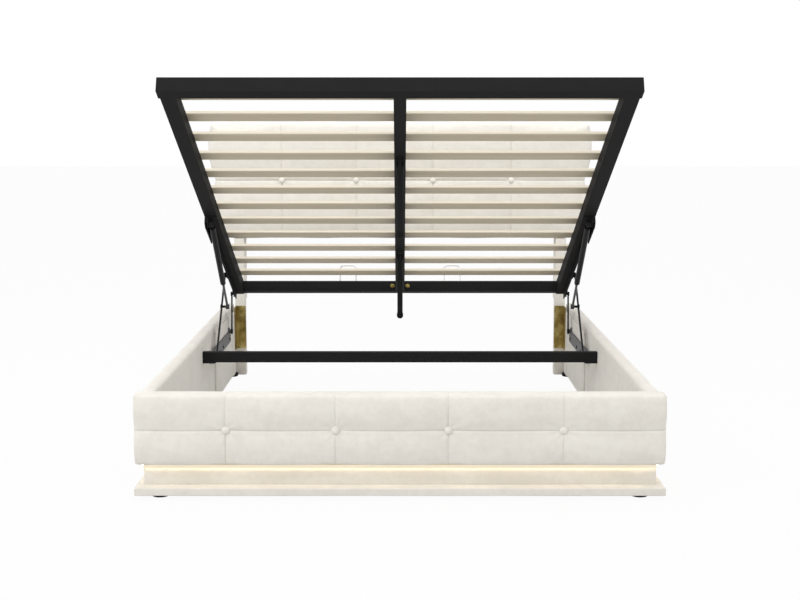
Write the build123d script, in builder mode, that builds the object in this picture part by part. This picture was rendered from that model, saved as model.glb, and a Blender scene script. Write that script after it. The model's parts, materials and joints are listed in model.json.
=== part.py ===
from build123d import *
import os
from math import asin, atan2, cos, degrees, hypot, radians, sin

os.makedirs("parts", exist_ok=True)

# Ottoman storage bed with its slatted base lifted, in millimetres
# +X is across the bed, -Y the foot end, +Y the head end, +Z up, and the floor is at Z = 0
# The origin is the middle of the whole bed's footprint, on the floor

# Upholstered box
box_width = 1650.0
box_top = 330.0
box_underside = 107.0
inside_length = 2024.0
footboard_thickness = 76.0
rail_thickness = 57.0
cushion_depth = 27.0
lining_thickness = 5.0
top_padding = 14.0
top_crown = 5.0
edge_draw = 9.0
edge_round = 11.0
cell_crown = 9.0
cell_depth = 24.0
overrun = 5.0

# Seams of the tufted faces, as shares of the box width from the middle
seam_shares = (-0.327, -0.121, 0.091, 0.307)
button_radius = 14.0
button_height = 11.0
button_gap = 1.0

# Plinth with its recess, light and feet
ledge_bottom = 15.0
ledge_height = 24.0
front_recess = 50.0
side_recess = 23.0
riser_thickness = 25.0
channel_width = 9.0
channel_height = 14.0
channel_wall = 1.5
strip_inset = 2.5
foot_radius = 27.0
foot_chamfer = 2.0
front_foot_inset = 72.0
front_foot_setback = 62.0
mid_foot_share = 0.52

# Headboard
headboard_overhang = 47.0
headboard_bottom = 634.0
headboard_top = 1163.0
headboard_proud = 15.0
headboard_cushion = 60.0
headboard_panel_thickness = 40.0
headboard_back_thickness = 15.0
headboard_pinch = 32.0
headboard_corner_draw = 12.0
headboard_top_draw = 5.0
headboard_corner_round = 16.0
headboard_wrap = 16.0
headboard_crown = 14.0
headboard_cell_depth = 40.0
leg_width = 48.0
leg_thickness = 45.0
leg_round = 6.0
tongue_height = 300.0
lap_height = 150.0

# Padding strips on the inner faces of the rails
pad_thickness = 7.0
pad_length = 655.0
end_pad_thickness = 11.0
end_pad_length = 115.0
pad_top = 300.0
pad_round = 14.0

# Corner brackets, yellow zinc
bracket_height = 197.0
bracket_bottom = 126.0
bracket_leg_flange = 46.0
bracket_rail_flange = 58.0
bracket_sheet = 4.0
bracket_round = 6.0
slot_width = 9.0
slot_length = 22.0
bolt_hole_radius = 4.1
bolt_shank_radius = 4.0
bolt_head_radius = 7.5
bolt_head_height = 4.0
slot_height_share = 0.72
low_hole_share = 0.16

# Cross bar between the rails
crossbar_front = 1106.0
crossbar_depth = 30.0
crossbar_height = 40.0
crossbar_wall = 2.0
crossbar_top_gap = 0.4
seat_flange = 50.0
seat_sheet = 4.0
seat_bolt_inset = 31.0

# Slatted frame, in its own plane: u from the head end towards the foot, v up from the underside
frame_head_gap = 12.8
frame_foot_gap = 11.2
frame_side_gap = 13.5
tube_height = 48.0
foot_bar_width = 50.0
head_bar_width = 30.0
side_tube_width = 48.0
tube_wall = 2.0
bar_overhang = 6.0
cap_thickness = 1.5
spine_width = 40.0
closed_height = 277.0
slat_count = 12
slat_width = 57.0
slat_thickness = 12.0
slat_lift = 4.0
slat_first = 125.0
slat_last_gap = 139.2
slat_round = 2.0
holder_reach = 36.0
holder_wall = 3.0
slat_proud = 2.5
holder_overlap = 30.0
holder_gap = 0.2
spine_slat_gap = 10.0

# Wire mattress stops at the head end
stop_wire_radius = 3.5
stop_width = 78.0
stop_height = 78.0
stop_offset = 233.0
stop_bend = 18.0

# Centre legs, hinged under the spine
leg_tube_radius = 11.0
leg_tube_wall = 1.5
leg_pivot_drop = 16.0
leg_ear_thickness = 3.0
leg_ear_width = 26.0
leg_pin_radius = 4.0
leg_top_reach = 9.0
leg_tip_radius = 13.0
leg_tip_height = 22.0
leg_tip_round = 9.0
leg_floor_gap = 3.0
front_leg_place = 1481.0
rear_leg_place = 536.0

# Lift mechanism: pose of the frame when open, and its closed place
open_tilt = 25.4
open_head_shift = 139.7
open_head_height = 401.2
rear_pivot_u = 75.0
rear_pivot_v = -28.0
front_pivot_u = 325.4
front_pivot_v = -27.0
strut_pivot_u = 932.8
strut_pivot_v = -26.0
rear_base_height = 244.0
front_base_height = 222.0
knee_share = 0.6

# Lift mechanism: sections
link_inset = 23.0
link_thickness = 5.0
link_width = 20.0
link_end_radius = 13.0
rear_tip_radius = 10.0
strut_inset = 47.0
pin_radius = 5.0
pin_clearance = 0.05
head_radius = 9.0
head_height = 2.4
side_gap = 0.3
base_sheet = 6.0
base_height = 52.0
base_bottom = 193.0
base_front_reach = 40.0
base_rear_reach = 40.0
base_ear_radius = 16.0
screw_radius = 7.0
screw_height = 2.5
screw_places_shares = (0.17, 0.36, 0.55, 0.925)
angle_sheet = 4.0
angle_drop = 27.0
angle_ear_radius = 14.0
angle_end_reach = 26.0
cheek_start = 745.0
wire_sides = 8
hex_sides = 6
flange_inset = 31.3
cheek_drop = 38.0
cylinder_radius = 11.0
cylinder_bore = 9.0
cylinder_length = 400.0
gland_length = 14.0
rod_radius = 5.0
rod_insertion = 130.0
piston_length = 20.0
eye_radius = 11.0
eye_thickness = 12.0
eye_neck = 26.0

low = Align.MIN
mid = Align.CENTER
high = Align.MAX
to_head = (0, 1, 0)

# Places worked out from the sizes
x_outer = box_width / 2
x_inner = x_outer - rail_thickness
bed_length = footboard_thickness + inside_length + headboard_cushion - headboard_proud
bed_length += headboard_panel_thickness + headboard_back_thickness
y_front = -bed_length / 2
y_inside = y_front + footboard_thickness
y_leg = y_inside + inside_length
y_leg_back = y_leg + leg_thickness
rail_length = y_leg_back - y_inside
core_top = box_top - top_padding
x_core_outer = x_outer - cushion_depth
x_core_inner = x_inner + lining_thickness
x_riser = x_outer - side_recess
seams = [share * box_width for share in seam_shares]
row_seam = (box_top + box_underside) / 2


def keep(part, name):
    part.label = name
    export_step(part, f"parts/{name}.step")


def keep_pair(part, name):
    # The right piece as modelled, and its mirror image on the left
    keep(part, f"{name}_right")
    keep(mirror(part, about=Plane.YZ), f"{name}_left")


def cross_plane(y):
    # A plane across the bed: local x is X, local y is Z
    return Plane(origin=(0, y, 0), x_dir=(1, 0, 0), z_dir=(0, -1, 0))


def side_plane(x):
    # A plane along the bed: local x is Y, local y is Z, extruding towards +X
    return Plane(origin=(x, 0, 0), x_dir=(0, 1, 0), z_dir=(1, 0, 0))


# Tufted cushion cell: crowned in both directions, with its seams drawn in all round
def crowned_cell(x_low, x_high, z_low, z_high, y_back, depth, crown):
    x_middle, z_middle = (x_low + x_high) / 2, (z_low + z_high) / 2
    half_height = (z_high - z_low) / 2
    arc_radius = (half_height**2 + crown**2) / (2 * crown)
    y_peak = y_back - depth
    with BuildPart() as cell:
        with BuildSketch(Plane.XY.offset(z_middle)):
            with BuildLine():
                Polyline(
                    (x_low, y_peak + crown),
                    (x_low, y_back + overrun),
                    (x_high, y_back + overrun),
                    (x_high, y_peak + crown),
                )
                ThreePointArc((x_low, y_peak + crown), (x_middle, y_peak), (x_high, y_peak + crown))
            make_face()
        revolve(axis=Axis((x_middle, y_peak + arc_radius, z_middle), (1, 0, 0)))
        with Locations((x_middle, y_back, z_middle)):
            Box(
                x_high - x_low,
                depth + overrun,
                z_high - z_low,
                align=(mid, high, mid),
                mode=Mode.INTERSECT,
            )
    return cell.part


def tufted_cells(x_edges, z_edges, y_back, depth, crown):
    return [
        crowned_cell(x_edges[i], x_edges[i + 1], z_edges[j], z_edges[j + 1], y_back, depth, crown)
        for i in range(len(x_edges) - 1)
        for j in range(len(z_edges) - 1)
    ]


# Covered buttons at the seam crossings, domed towards the foot end
def covered_buttons(z, y_back):
    dome_radius = (button_radius**2 + button_height**2) / (2 * button_height)
    dome_centre = y_back - button_height + dome_radius
    half_angle = asin(button_radius / dome_radius) / 2
    with BuildPart() as buttons:
        for x in seams:
            with BuildSketch(Plane(origin=(x, 0, z), x_dir=(0, 1, 0), z_dir=(0, 0, 1))):
                with BuildLine():
                    Polyline((y_back - button_height, 0), (y_back, 0), (y_back, button_radius))
                    ThreePointArc(
                        (y_back, button_radius),
                        (dome_centre - dome_radius * cos(half_angle), dome_radius * sin(half_angle)),
                        (y_back - button_height, 0),
                    )
                make_face()
            revolve(axis=Axis((x, y_back, z), (0, 1, 0)))
    return buttons.part


def button_pockets(z, y_back):
    # Wells that leave the buttons clear of the cover
    with BuildPart() as pockets:
        for x in seams:
            with BuildSketch(cross_plane(y_back)):
                with Locations((x, z)):
                    Circle(button_radius + button_gap)
            extrude(amount=headboard_cell_depth + overrun)
    return pockets.part


# Footboard: timber panel, tufted cover and buttons
footboard_length = footboard_thickness - cushion_depth - lining_thickness
footboard_button_back = y_front + 2 * cell_crown + button_gap
with BuildPart() as footboard_panel:
    with Locations((0, y_front + cushion_depth, box_underside)):
        Box(2 * x_core_outer, footboard_length, core_top - box_underside, align=(mid, low, low))
keep(footboard_panel.part, "footboard_panel")

cells = tufted_cells(
    [-x_outer, *seams, x_outer],
    [box_underside, row_seam, box_top],
    y_front + cell_depth,
    cell_depth,
    cell_crown,
)
with BuildPart() as footboard_upholstery:
    y_slab = y_front + cell_depth
    with BuildSketch(Plane.YZ):
        with BuildLine():
            Polyline(
                (y_slab, box_top),
                (y_slab, box_underside),
                (y_inside, box_underside),
                (y_inside, box_top),
            )
            ThreePointArc(
                (y_inside, box_top),
                ((y_slab + y_inside) / 2, box_top + top_crown),
                (y_slab, box_top),
            )
        make_face()
    extrude(amount=x_outer, both=True)
    for cell in cells:
        add(cell)
    with Locations((0, y_inside, ledge_bottom)):
        Box(2 * x_inner, lining_thickness, box_underside - ledge_bottom, align=(mid, high, low))
    add(footboard_panel.part, mode=Mode.SUBTRACT)
    add(button_pockets(row_seam, footboard_button_back), mode=Mode.SUBTRACT)
keep(footboard_upholstery.part, "footboard_upholstery")

keep(covered_buttons(row_seam, footboard_button_back), "footboard_buttons")

# Side rails: timber panel and a cover with a crowned outer face
with BuildPart() as side_rail_panel:
    with Locations((x_core_inner, y_inside, box_underside)):
        Box(x_core_outer - x_core_inner, rail_length, core_top - box_underside, align=(low, low, low))
keep_pair(side_rail_panel.part, "side_rail_panel")

with BuildPart() as side_rail_upholstery:
    with BuildSketch(cross_plane(y_inside)) as rail_section:
        with BuildLine():
            ThreePointArc(
                (x_outer - edge_draw, box_underside), (x_outer, row_seam), (x_outer - edge_draw, box_top)
            )
            ThreePointArc(
                (x_outer - edge_draw, box_top),
                (x_outer - rail_thickness / 2, box_top + top_crown),
                (x_inner, box_top),
            )
            Polyline(
                (x_inner, box_top),
                (x_inner, ledge_bottom),
                (x_core_inner, ledge_bottom),
                (x_core_inner, core_top),
                (x_core_outer, core_top),
                (x_core_outer, box_underside),
                (x_outer - edge_draw, box_underside),
            )
        make_face()
        fillet(rail_section.vertices().group_by(Axis.Y)[-1], radius=edge_round)
    extrude(amount=-rail_length)
keep_pair(side_rail_upholstery.part, "side_rail_upholstery")

# Padding strips inside the rails, thicker beside the headboard legs
with BuildPart() as side_rail_pad:
    pad_y = y_leg - pad_length
    end_pad_y = y_leg - end_pad_length
    with BuildSketch(side_plane(x_inner - pad_thickness)) as pad_outline:
        with BuildLine():
            Polyline(
                (pad_y, pad_top),
                (pad_y, ledge_bottom),
                (y_leg, ledge_bottom),
                (y_leg, pad_top),
                close=True,
            )
        make_face()
        fillet(pad_outline.vertices().sort_by(Axis.Y)[:2].sort_by(Axis.Z)[-1], radius=pad_round)
    extrude(amount=pad_thickness)
    with Locations((x_inner - end_pad_thickness, end_pad_y, ledge_bottom)):
        Box(end_pad_thickness, y_leg - end_pad_y, pad_top - ledge_bottom, align=(low, low, low))
keep_pair(side_rail_pad.part, "side_rail_pad")

# Plinth: recessed risers under the box, and ledges that stand out to the line of the box
riser_front_y = y_front + front_recess
with BuildPart() as plinth_riser_front:
    with Locations((0, riser_front_y, ledge_bottom)):
        Box(2 * x_riser, riser_thickness - 2 * side_gap, box_underside - ledge_bottom, align=(mid, low, low))
    with Locations((0, y_inside - lining_thickness, ledge_bottom)):
        Box(2 * x_core_inner, lining_thickness, box_underside - ledge_bottom, align=(mid, low, low))
    with Locations((0, y_inside - lining_thickness, ledge_bottom)):
        Box(
            2 * x_inner,
            lining_thickness,
            box_underside - ledge_bottom,
            align=(mid, low, low),
            mode=Mode.SUBTRACT,
        )
keep(plinth_riser_front.part, "plinth_riser_front")

with BuildPart() as plinth_riser:
    with Locations((x_core_inner, y_inside, ledge_bottom)):
        Box(x_riser - x_core_inner, rail_length, box_underside - ledge_bottom, align=(low, low, low))
keep_pair(plinth_riser.part, "plinth_riser")

with BuildPart() as plinth_ledge_front:
    with Locations((0, y_front, ledge_bottom)):
        Box(box_width, front_recess, ledge_height, align=(mid, low, low))
    ledge_edges = plinth_ledge_front.edges().filter_by(Axis.X).group_by(Axis.Y)[0]
    fillet(ledge_edges, radius=edge_round / 4)
keep(plinth_ledge_front.part, "plinth_ledge_front")

with BuildPart() as plinth_ledge:
    with Locations((x_riser, riser_front_y, ledge_bottom)):
        Box(side_recess, y_leg_back - riser_front_y, ledge_height, align=(low, low, low))
    ledge_edges = plinth_ledge.edges().filter_by(Axis.Y).group_by(Axis.X)[-1]
    fillet(ledge_edges, radius=edge_round / 4)
keep_pair(plinth_ledge.part, "plinth_ledge")

# Light channel, open downwards, and its glowing strip, tucked up under the box against the risers
channel_top = box_underside - side_gap
channel_length = 2 * x_riser
strip_width = channel_width - 2 * channel_wall
strip_height = channel_height - channel_wall - strip_inset
with BuildPart() as light_channel:
    with Locations((0, riser_front_y, channel_top)):
        Box(channel_length, channel_width, channel_height, align=(mid, high, high))
    with Locations((0, riser_front_y - channel_wall, channel_top - channel_wall)):
        Box(channel_length, strip_width, channel_height, align=(mid, high, high), mode=Mode.SUBTRACT)
    for side in (-1, 1):
        outward = low if side > 0 else high
        with Locations((side * x_riser, riser_front_y + channel_width, channel_top)):
            Box(channel_width, rail_length, channel_height, align=(outward, low, high))
        with Locations(
            (side * (x_riser + channel_wall), riser_front_y + channel_width, channel_top - channel_wall)
        ):
            Box(strip_width, rail_length, channel_height, align=(outward, low, high), mode=Mode.SUBTRACT)
keep(light_channel.part, "light_channel")

with BuildPart() as light_strip:
    with Locations((0, riser_front_y - channel_wall, channel_top - channel_wall)):
        Box(channel_length, strip_width, strip_height, align=(mid, high, high))
    for side in (-1, 1):
        with Locations(
            (side * (x_riser + channel_wall), riser_front_y + channel_width, channel_top - channel_wall)
        ):
            Box(strip_width, rail_length, strip_height, align=(low if side > 0 else high, low, high))
keep(light_strip.part, "light_strip")

# Round feet under the plinth
rear_foot_y = y_leg - foot_radius - foot_chamfer
mid_foot_y = y_front + mid_foot_share * (rear_foot_y - y_front)
foot_places = [(x_outer - front_foot_inset, y_front + front_foot_setback)]
foot_places += [(x_riser - foot_radius, mid_foot_y), (x_riser - foot_radius, rear_foot_y)]
with BuildPart() as feet:
    for x, y in foot_places:
        with BuildSketch(Plane.XY):
            with Locations((x, y), (-x, y)):
                Circle(foot_radius)
        extrude(amount=ledge_bottom)
    chamfer(feet.edges().filter_by(GeomType.CIRCLE).group_by(Axis.Z)[0], length=foot_chamfer)
keep(feet.part, "feet")

# Headboard: outline puffed between the seams, timber panel, tufted cushion, buttons and rear cover
headboard_front = y_leg - headboard_proud
panel_front = headboard_front + headboard_cushion
panel_back = panel_front + headboard_panel_thickness
headboard_seam = (headboard_top + headboard_bottom) / 2
half_headboard = x_outer + headboard_overhang


def headboard_outline(inset, y):
    # Corner, puffed edge and pinched seam all round, drawn in by the inset
    x_corner = half_headboard - headboard_corner_draw - inset
    x_pinch = half_headboard - headboard_pinch - inset
    top, bottom = headboard_top - inset, headboard_bottom + inset
    row_height = (top - bottom) / 4
    tops = [-x_corner, *seams, x_corner]
    with BuildSketch(cross_plane(y)) as outline:
        with BuildLine():
            for i in range(len(tops) - 1):
                middle = (tops[i] + tops[i + 1]) / 2
                for edge, draw in ((top, -headboard_top_draw), (bottom, headboard_top_draw)):
                    start, end = (tops[i], edge + draw), (tops[i + 1], edge + draw)
                    ThreePointArc(start, (middle, edge), end)
            for side in (-1, 1):
                for edge, direction in ((bottom + headboard_top_draw, 1), (top - headboard_top_draw, -1)):
                    ThreePointArc(
                        (side * x_corner, edge),
                        (side * (half_headboard - inset), edge + direction * row_height),
                        (side * x_pinch, headboard_seam),
                    )
        make_face()
        corners = [v for v in outline.vertices() if abs(v.Z - headboard_seam) > row_height]
        corners = [v for v in corners if abs(v.X) > x_pinch]
        fillet(corners, radius=headboard_corner_round)
    return outline.sketch


# Headboard legs: cloth-covered posts on the floor, each with a tongue lapped into the back of the panel
leg_x = x_inner - pad_thickness - leg_width / 2
panel_bottom = headboard_bottom + headboard_wrap
lap_front = (panel_front + panel_back) / 2
with BuildPart() as headboard_leg:
    with Locations((leg_x, y_leg, 0)):
        Box(leg_width, leg_thickness, headboard_bottom, align=(mid, low, low))
    fillet(headboard_leg.edges().filter_by(Axis.Z).group_by(Axis.Y)[0], radius=leg_round)
    with Locations((leg_x, panel_front, panel_bottom)):
        Box(leg_width, headboard_panel_thickness, tongue_height, align=(mid, low, high))
    with Locations((leg_x, lap_front, panel_bottom)):
        Box(leg_width, panel_back - lap_front, lap_height, align=(mid, low, low))
keep_pair(headboard_leg.part, "headboard_leg")

with BuildPart() as headboard_panel:
    with BuildSketch(cross_plane(panel_front)) as panel_outline:
        with Locations((0, headboard_seam)):
            RectangleRounded(
                2 * (half_headboard - headboard_pinch - headboard_wrap),
                headboard_top - headboard_bottom - 2 * headboard_wrap,
                headboard_corner_round,
            )
    extrude(amount=-headboard_panel_thickness)
    for side in (-1, 1):
        with Locations((side * leg_x, lap_front, panel_bottom)):
            Box(leg_width, panel_back - lap_front, lap_height, align=(mid, low, low), mode=Mode.SUBTRACT)
keep(headboard_panel.part, "headboard_panel")

headboard_cells = tufted_cells(
    [-half_headboard, *seams, half_headboard],
    [headboard_bottom, headboard_seam, headboard_top],
    headboard_front + headboard_cell_depth,
    headboard_cell_depth,
    headboard_crown,
)
headboard_button_back = headboard_front + 2 * headboard_crown + button_gap
with BuildPart() as headboard_upholstery:
    for cell in headboard_cells:
        add(cell)
    add(headboard_outline(0, headboard_front - overrun))
    extrude(amount=headboard_cell_depth + 2 * overrun, dir=to_head, mode=Mode.INTERSECT)
    add(headboard_outline(0, headboard_front + headboard_cell_depth))
    extrude(amount=panel_back - headboard_front - headboard_cell_depth, dir=to_head)
    add(headboard_panel.part, mode=Mode.SUBTRACT)
    add(headboard_leg.part, mode=Mode.SUBTRACT)
    add(mirror(headboard_leg.part, about=Plane.YZ), mode=Mode.SUBTRACT)
    add(button_pockets(headboard_seam, headboard_button_back), mode=Mode.SUBTRACT)
keep(headboard_upholstery.part, "headboard_upholstery")

keep(covered_buttons(headboard_seam, headboard_button_back), "headboard_buttons")

with BuildPart() as headboard_back:
    add(headboard_outline(lining_thickness, panel_back))
    extrude(amount=headboard_back_thickness, dir=to_head)
keep(headboard_back.part, "headboard_back")

# Corner brackets and their bolts
bracket_x = x_inner - end_pad_thickness
slot_z = bracket_bottom + slot_height_share * bracket_height
low_hole_z = bracket_bottom + low_hole_share * bracket_height
hole_x = bracket_x - bracket_leg_flange / 2
with BuildPart() as corner_bracket:
    with Locations((bracket_x, y_leg, bracket_bottom)):
        Box(bracket_leg_flange, bracket_sheet, bracket_height, align=(high, high, low))
        Box(bracket_sheet, bracket_rail_flange, bracket_height, align=(high, high, low))
    free_edge = corner_bracket.edges().filter_by(Axis.Y).group_by(Axis.X)[0]
    fillet(free_edge, radius=bracket_round)
    with BuildSketch(cross_plane(y_leg + overrun)):
        with Locations((hole_x, slot_z)):
            SlotOverall(slot_length, slot_width, rotation=90)
        with Locations((hole_x, low_hole_z)):
            Circle(bolt_hole_radius)
    extrude(amount=bracket_sheet + 2 * overrun, mode=Mode.SUBTRACT)
keep_pair(corner_bracket.part, "corner_bracket")

with BuildPart() as bracket_bolts:
    bolt_places = [(side * hole_x, z) for side in (-1, 1) for z in (slot_z, low_hole_z)]
    with BuildSketch(cross_plane(y_leg)):
        with Locations(*bolt_places):
            Circle(bolt_shank_radius)
    extrude(amount=bracket_sheet)
    with BuildSketch(cross_plane(y_leg - bracket_sheet)):
        with Locations(*bolt_places):
            RegularPolygon(bolt_head_radius, hex_sides)
    extrude(amount=bolt_head_height)
keep(bracket_bolts.part, "bracket_bolts")

# Cross bar, its seats on the rails and the bolts up through them
crossbar_y = y_front + crossbar_front
crossbar_top = closed_height - crossbar_top_gap
crossbar_bottom = crossbar_top - crossbar_height
crossbar_half = x_inner - seat_sheet
seat_bolt_x = x_inner - seat_bolt_inset
with BuildPart() as crossbar:
    with Locations((0, crossbar_y, crossbar_bottom)):
        Box(2 * crossbar_half, crossbar_depth, crossbar_height, align=(mid, low, low))
    with Locations((0, crossbar_y + crossbar_wall, crossbar_bottom + crossbar_wall)):
        Box(
            2 * crossbar_half + overrun,
            crossbar_depth - 2 * crossbar_wall,
            crossbar_height - 2 * crossbar_wall,
            align=(mid, low, low),
            mode=Mode.SUBTRACT,
        )
keep(crossbar.part, "crossbar")

with BuildPart() as crossbar_seats:
    for side in (-1, 1):
        inward = high if side > 0 else low
        with Locations((side * x_inner, crossbar_y, crossbar_bottom)):
            Box(seat_flange, crossbar_depth, seat_sheet, align=(inward, low, high))
            Box(seat_sheet, crossbar_depth, crossbar_height, align=(inward, low, low))
keep(crossbar_seats.part, "crossbar_seats")

with BuildPart() as crossbar_bolts:
    with BuildSketch(Plane.XY.offset(crossbar_bottom - seat_sheet)):
        with Locations(
            (seat_bolt_x, crossbar_y + crossbar_depth / 2), (-seat_bolt_x, crossbar_y + crossbar_depth / 2)
        ):
            RegularPolygon(bolt_head_radius, hex_sides)
    extrude(amount=-bolt_head_height)
keep(crossbar_bolts.part, "crossbar_bolts")

# Linkage: each base pivot is as far from its frame pivot with the bed open as with it closed
tilt = radians(open_tilt)
closed_head = (y_leg - frame_head_gap, closed_height)
open_head = (closed_head[0] - open_head_shift, open_head_height)


def frame_point(head, angle, u, v):
    # Where a point of the frame lies, in Y and Z, when the frame leans by this angle
    return head[0] - u * cos(angle) + v * sin(angle), head[1] + u * sin(angle) + v * cos(angle)


def base_pivot(u, v, height):
    y_open, z_open = frame_point(open_head, tilt, u, v)
    y_closed, z_closed = frame_point(closed_head, 0, u, v)
    slope = (z_closed - z_open) / (y_closed - y_open)
    y_middle, z_middle = (y_open + y_closed) / 2, (z_open + z_closed) / 2
    return y_middle - (height - z_middle) * slope, height


rear_base = base_pivot(rear_pivot_u, rear_pivot_v, rear_base_height)
front_base = base_pivot(front_pivot_u, front_pivot_v, front_base_height)
rear_top = frame_point(open_head, tilt, rear_pivot_u, rear_pivot_v)
front_top = frame_point(open_head, tilt, front_pivot_u, front_pivot_v)
strut_top = frame_point(open_head, tilt, strut_pivot_u, strut_pivot_v)
knee = tuple(b + knee_share * (t - b) for b, t in zip(front_base, front_top))
link_plane = x_inner - link_inset
strut_plane = x_inner - strut_inset
link_outer = link_plane + link_thickness / 2
link_inner = link_plane - link_thickness / 2
plate_face = x_inner - pad_thickness - base_sheet


def disc(x_start, x_end, place, radius):
    # A round pin, head or hole across the bed, between two X places
    with BuildPart() as round_piece:
        with BuildSketch(side_plane(x_start)):
            with Locations(place):
                Circle(radius)
        extrude(amount=x_end - x_start)
    return round_piece.part


# Base plates on the rails, with their rear ears, pivot pins and screw heads
plate_start = front_base[0] - base_front_reach
plate_end = rear_base[0] + base_rear_reach
plate_top = base_bottom + base_height
screw_y = [plate_start + share * (plate_end - plate_start) for share in screw_places_shares]
screw_z = base_bottom + base_height / 3
with BuildPart() as base_plate:
    with BuildSketch(side_plane(plate_face)) as plate_outline:
        with Locations(((plate_start + plate_end) / 2, base_bottom + base_height / 2)):
            RectangleRounded(plate_end - plate_start, base_height, base_height / 5)
        with Locations(rear_base):
            Circle(base_ear_radius)
        with Locations((rear_base[0], (rear_base[1] + base_bottom) / 2)):
            Rectangle(2 * base_ear_radius, rear_base[1] - base_bottom)
    extrude(amount=base_sheet)
    for place in (rear_base, front_base):
        add(disc(link_outer + side_gap, plate_face, place, head_radius))
        add(disc(link_inner - side_gap, link_outer + side_gap, place, pin_radius))
        add(disc(link_inner - side_gap - head_height, link_inner - side_gap, place, head_radius))
keep_pair(base_plate.part, "base_plate")

with BuildPart() as base_screws:
    for side in (-1, 1):
        for y in screw_y:
            with BuildSketch(side_plane(side * plate_face)):
                with Locations((y, screw_z)):
                    RegularPolygon(screw_radius, hex_sides)
            extrude(amount=-side * screw_height)
keep(base_screws.part, "base_screws")


# A flat link with round ends, from one pivot to the other
def link_bar(start, end, end_radius):
    length = hypot(end[0] - start[0], end[1] - start[1])
    angle = degrees(atan2(end[1] - start[1], end[0] - start[0]))
    middle = ((start[0] + end[0]) / 2, (start[1] + end[1]) / 2)
    with BuildPart() as bar:
        with BuildSketch(side_plane(link_inner)):
            with Locations(Location((*middle, 0), angle)):
                Rectangle(length, link_width)
            with Locations(start):
                Circle(link_end_radius)
            with Locations(end):
                Circle(end_radius)
        extrude(amount=link_thickness)
    return bar.part


hole_radius = pin_radius + pin_clearance
flange_x = x_inner - flange_inset
knee_reach = strut_plane + eye_thickness / 2 + side_gap

with BuildPart() as front_link:
    add(link_bar(front_base, front_top, link_end_radius))
    add(disc(link_inner - overrun, link_outer + overrun, front_base, hole_radius), mode=Mode.SUBTRACT)
    add(disc(link_inner - overrun, link_outer + overrun, front_top, hole_radius), mode=Mode.SUBTRACT)
    add(disc(knee_reach, link_inner, knee, pin_radius))
    add(disc(link_outer, link_outer + head_height, knee, head_radius))
keep_pair(front_link.part, "front_link")

# The rear link is free at its top: its pin stops short of the frame's angle
with BuildPart() as rear_link:
    add(link_bar(rear_base, rear_top, rear_tip_radius))
    add(disc(link_inner - overrun, link_outer + overrun, rear_base, hole_radius), mode=Mode.SUBTRACT)
    add(disc(flange_x + side_gap, link_inner, rear_top, pin_radius))
    add(disc(link_outer, link_outer + head_height, rear_top, head_radius))
keep_pair(rear_link.part, "rear_link")

# Gas struts: cylinder hinged under the frame, rod reaching the knee of the front link
strut_length = hypot(knee[0] - strut_top[0], knee[1] - strut_top[1])
strut_angle = atan2(knee[1] - strut_top[1], knee[0] - strut_top[0])
strut_axis = (0, cos(strut_angle), sin(strut_angle))


def strut_plane_at(distance):
    # A plane square to the strut, this far from its upper pivot
    y = strut_top[0] + distance * cos(strut_angle)
    z = strut_top[1] + distance * sin(strut_angle)
    return Plane(origin=(strut_plane, y, z), x_dir=(1, 0, 0), z_dir=strut_axis)


def strut_round(start, end, radius):
    with BuildPart() as round_piece:
        with BuildSketch(strut_plane_at(start)):
            Circle(radius)
        extrude(amount=end - start)
    return round_piece.part


eye_low = strut_plane - eye_thickness / 2
eye_high = strut_plane + eye_thickness / 2
with BuildPart() as strut_cylinder:
    add(disc(eye_low, eye_high, strut_top, eye_radius))
    add(strut_round(0, eye_neck, rod_radius))
    add(strut_round(eye_neck, cylinder_length, cylinder_radius))
    add(strut_round(eye_neck + gland_length, cylinder_length - gland_length, cylinder_bore), mode=Mode.SUBTRACT)
    add(strut_round(cylinder_length - gland_length, cylinder_length + overrun, rod_radius + pin_clearance), mode=Mode.SUBTRACT)
    add(disc(eye_low - overrun, eye_high + overrun, strut_top, hole_radius), mode=Mode.SUBTRACT)
keep_pair(strut_cylinder.part, "strut_cylinder")

with BuildPart() as strut_rod:
    add(disc(eye_low, eye_high, knee, eye_radius))
    add(disc(eye_low - head_height, eye_low, knee, head_radius))
    add(strut_round(cylinder_length - rod_insertion, strut_length, rod_radius))
    add(strut_round(cylinder_length - rod_insertion, cylinder_length - rod_insertion + piston_length, cylinder_bore - 2 * pin_clearance))
keep_pair(strut_rod.part, "strut_rod")

# Slatted frame, leaning open: local x is X, local y runs to the head end, local z up from the underside
frame_plane = Plane(
    origin=(0, open_head[0], open_head[1]), x_dir=(1, 0, 0), z_dir=(0, sin(tilt), cos(tilt))
)
frame_width = 2 * (x_inner - frame_side_gap)
frame_length = inside_length - frame_head_gap - frame_foot_gap
tube_outer = frame_width / 2 - bar_overhang
tube_inner = tube_outer - side_tube_width
tube_start = head_bar_width
tube_end = frame_length - foot_bar_width


def frame_box(x, u, v, width, length, height, align=(mid, high, low), mode=Mode.ADD):
    # A box whose head-end face is at u and underside at v
    with Locations((x, -u, v)):
        Box(width, length, height, align=align, mode=mode)


def cross_bar_tube(u, depth, half_length):
    with BuildPart(frame_plane) as bar:
        frame_box(0, u, 0, 2 * half_length, depth, tube_height)
        frame_box(
            0,
            u + tube_wall,
            tube_wall,
            2 * half_length + overrun,
            depth - 2 * tube_wall,
            tube_height - 2 * tube_wall,
            mode=Mode.SUBTRACT,
        )
    return bar.part


foot_bar_half = frame_width / 2 - cap_thickness
keep(cross_bar_tube(tube_end, foot_bar_width, foot_bar_half), "foot_bar")
keep(cross_bar_tube(0, head_bar_width, tube_outer), "head_bar")


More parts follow.
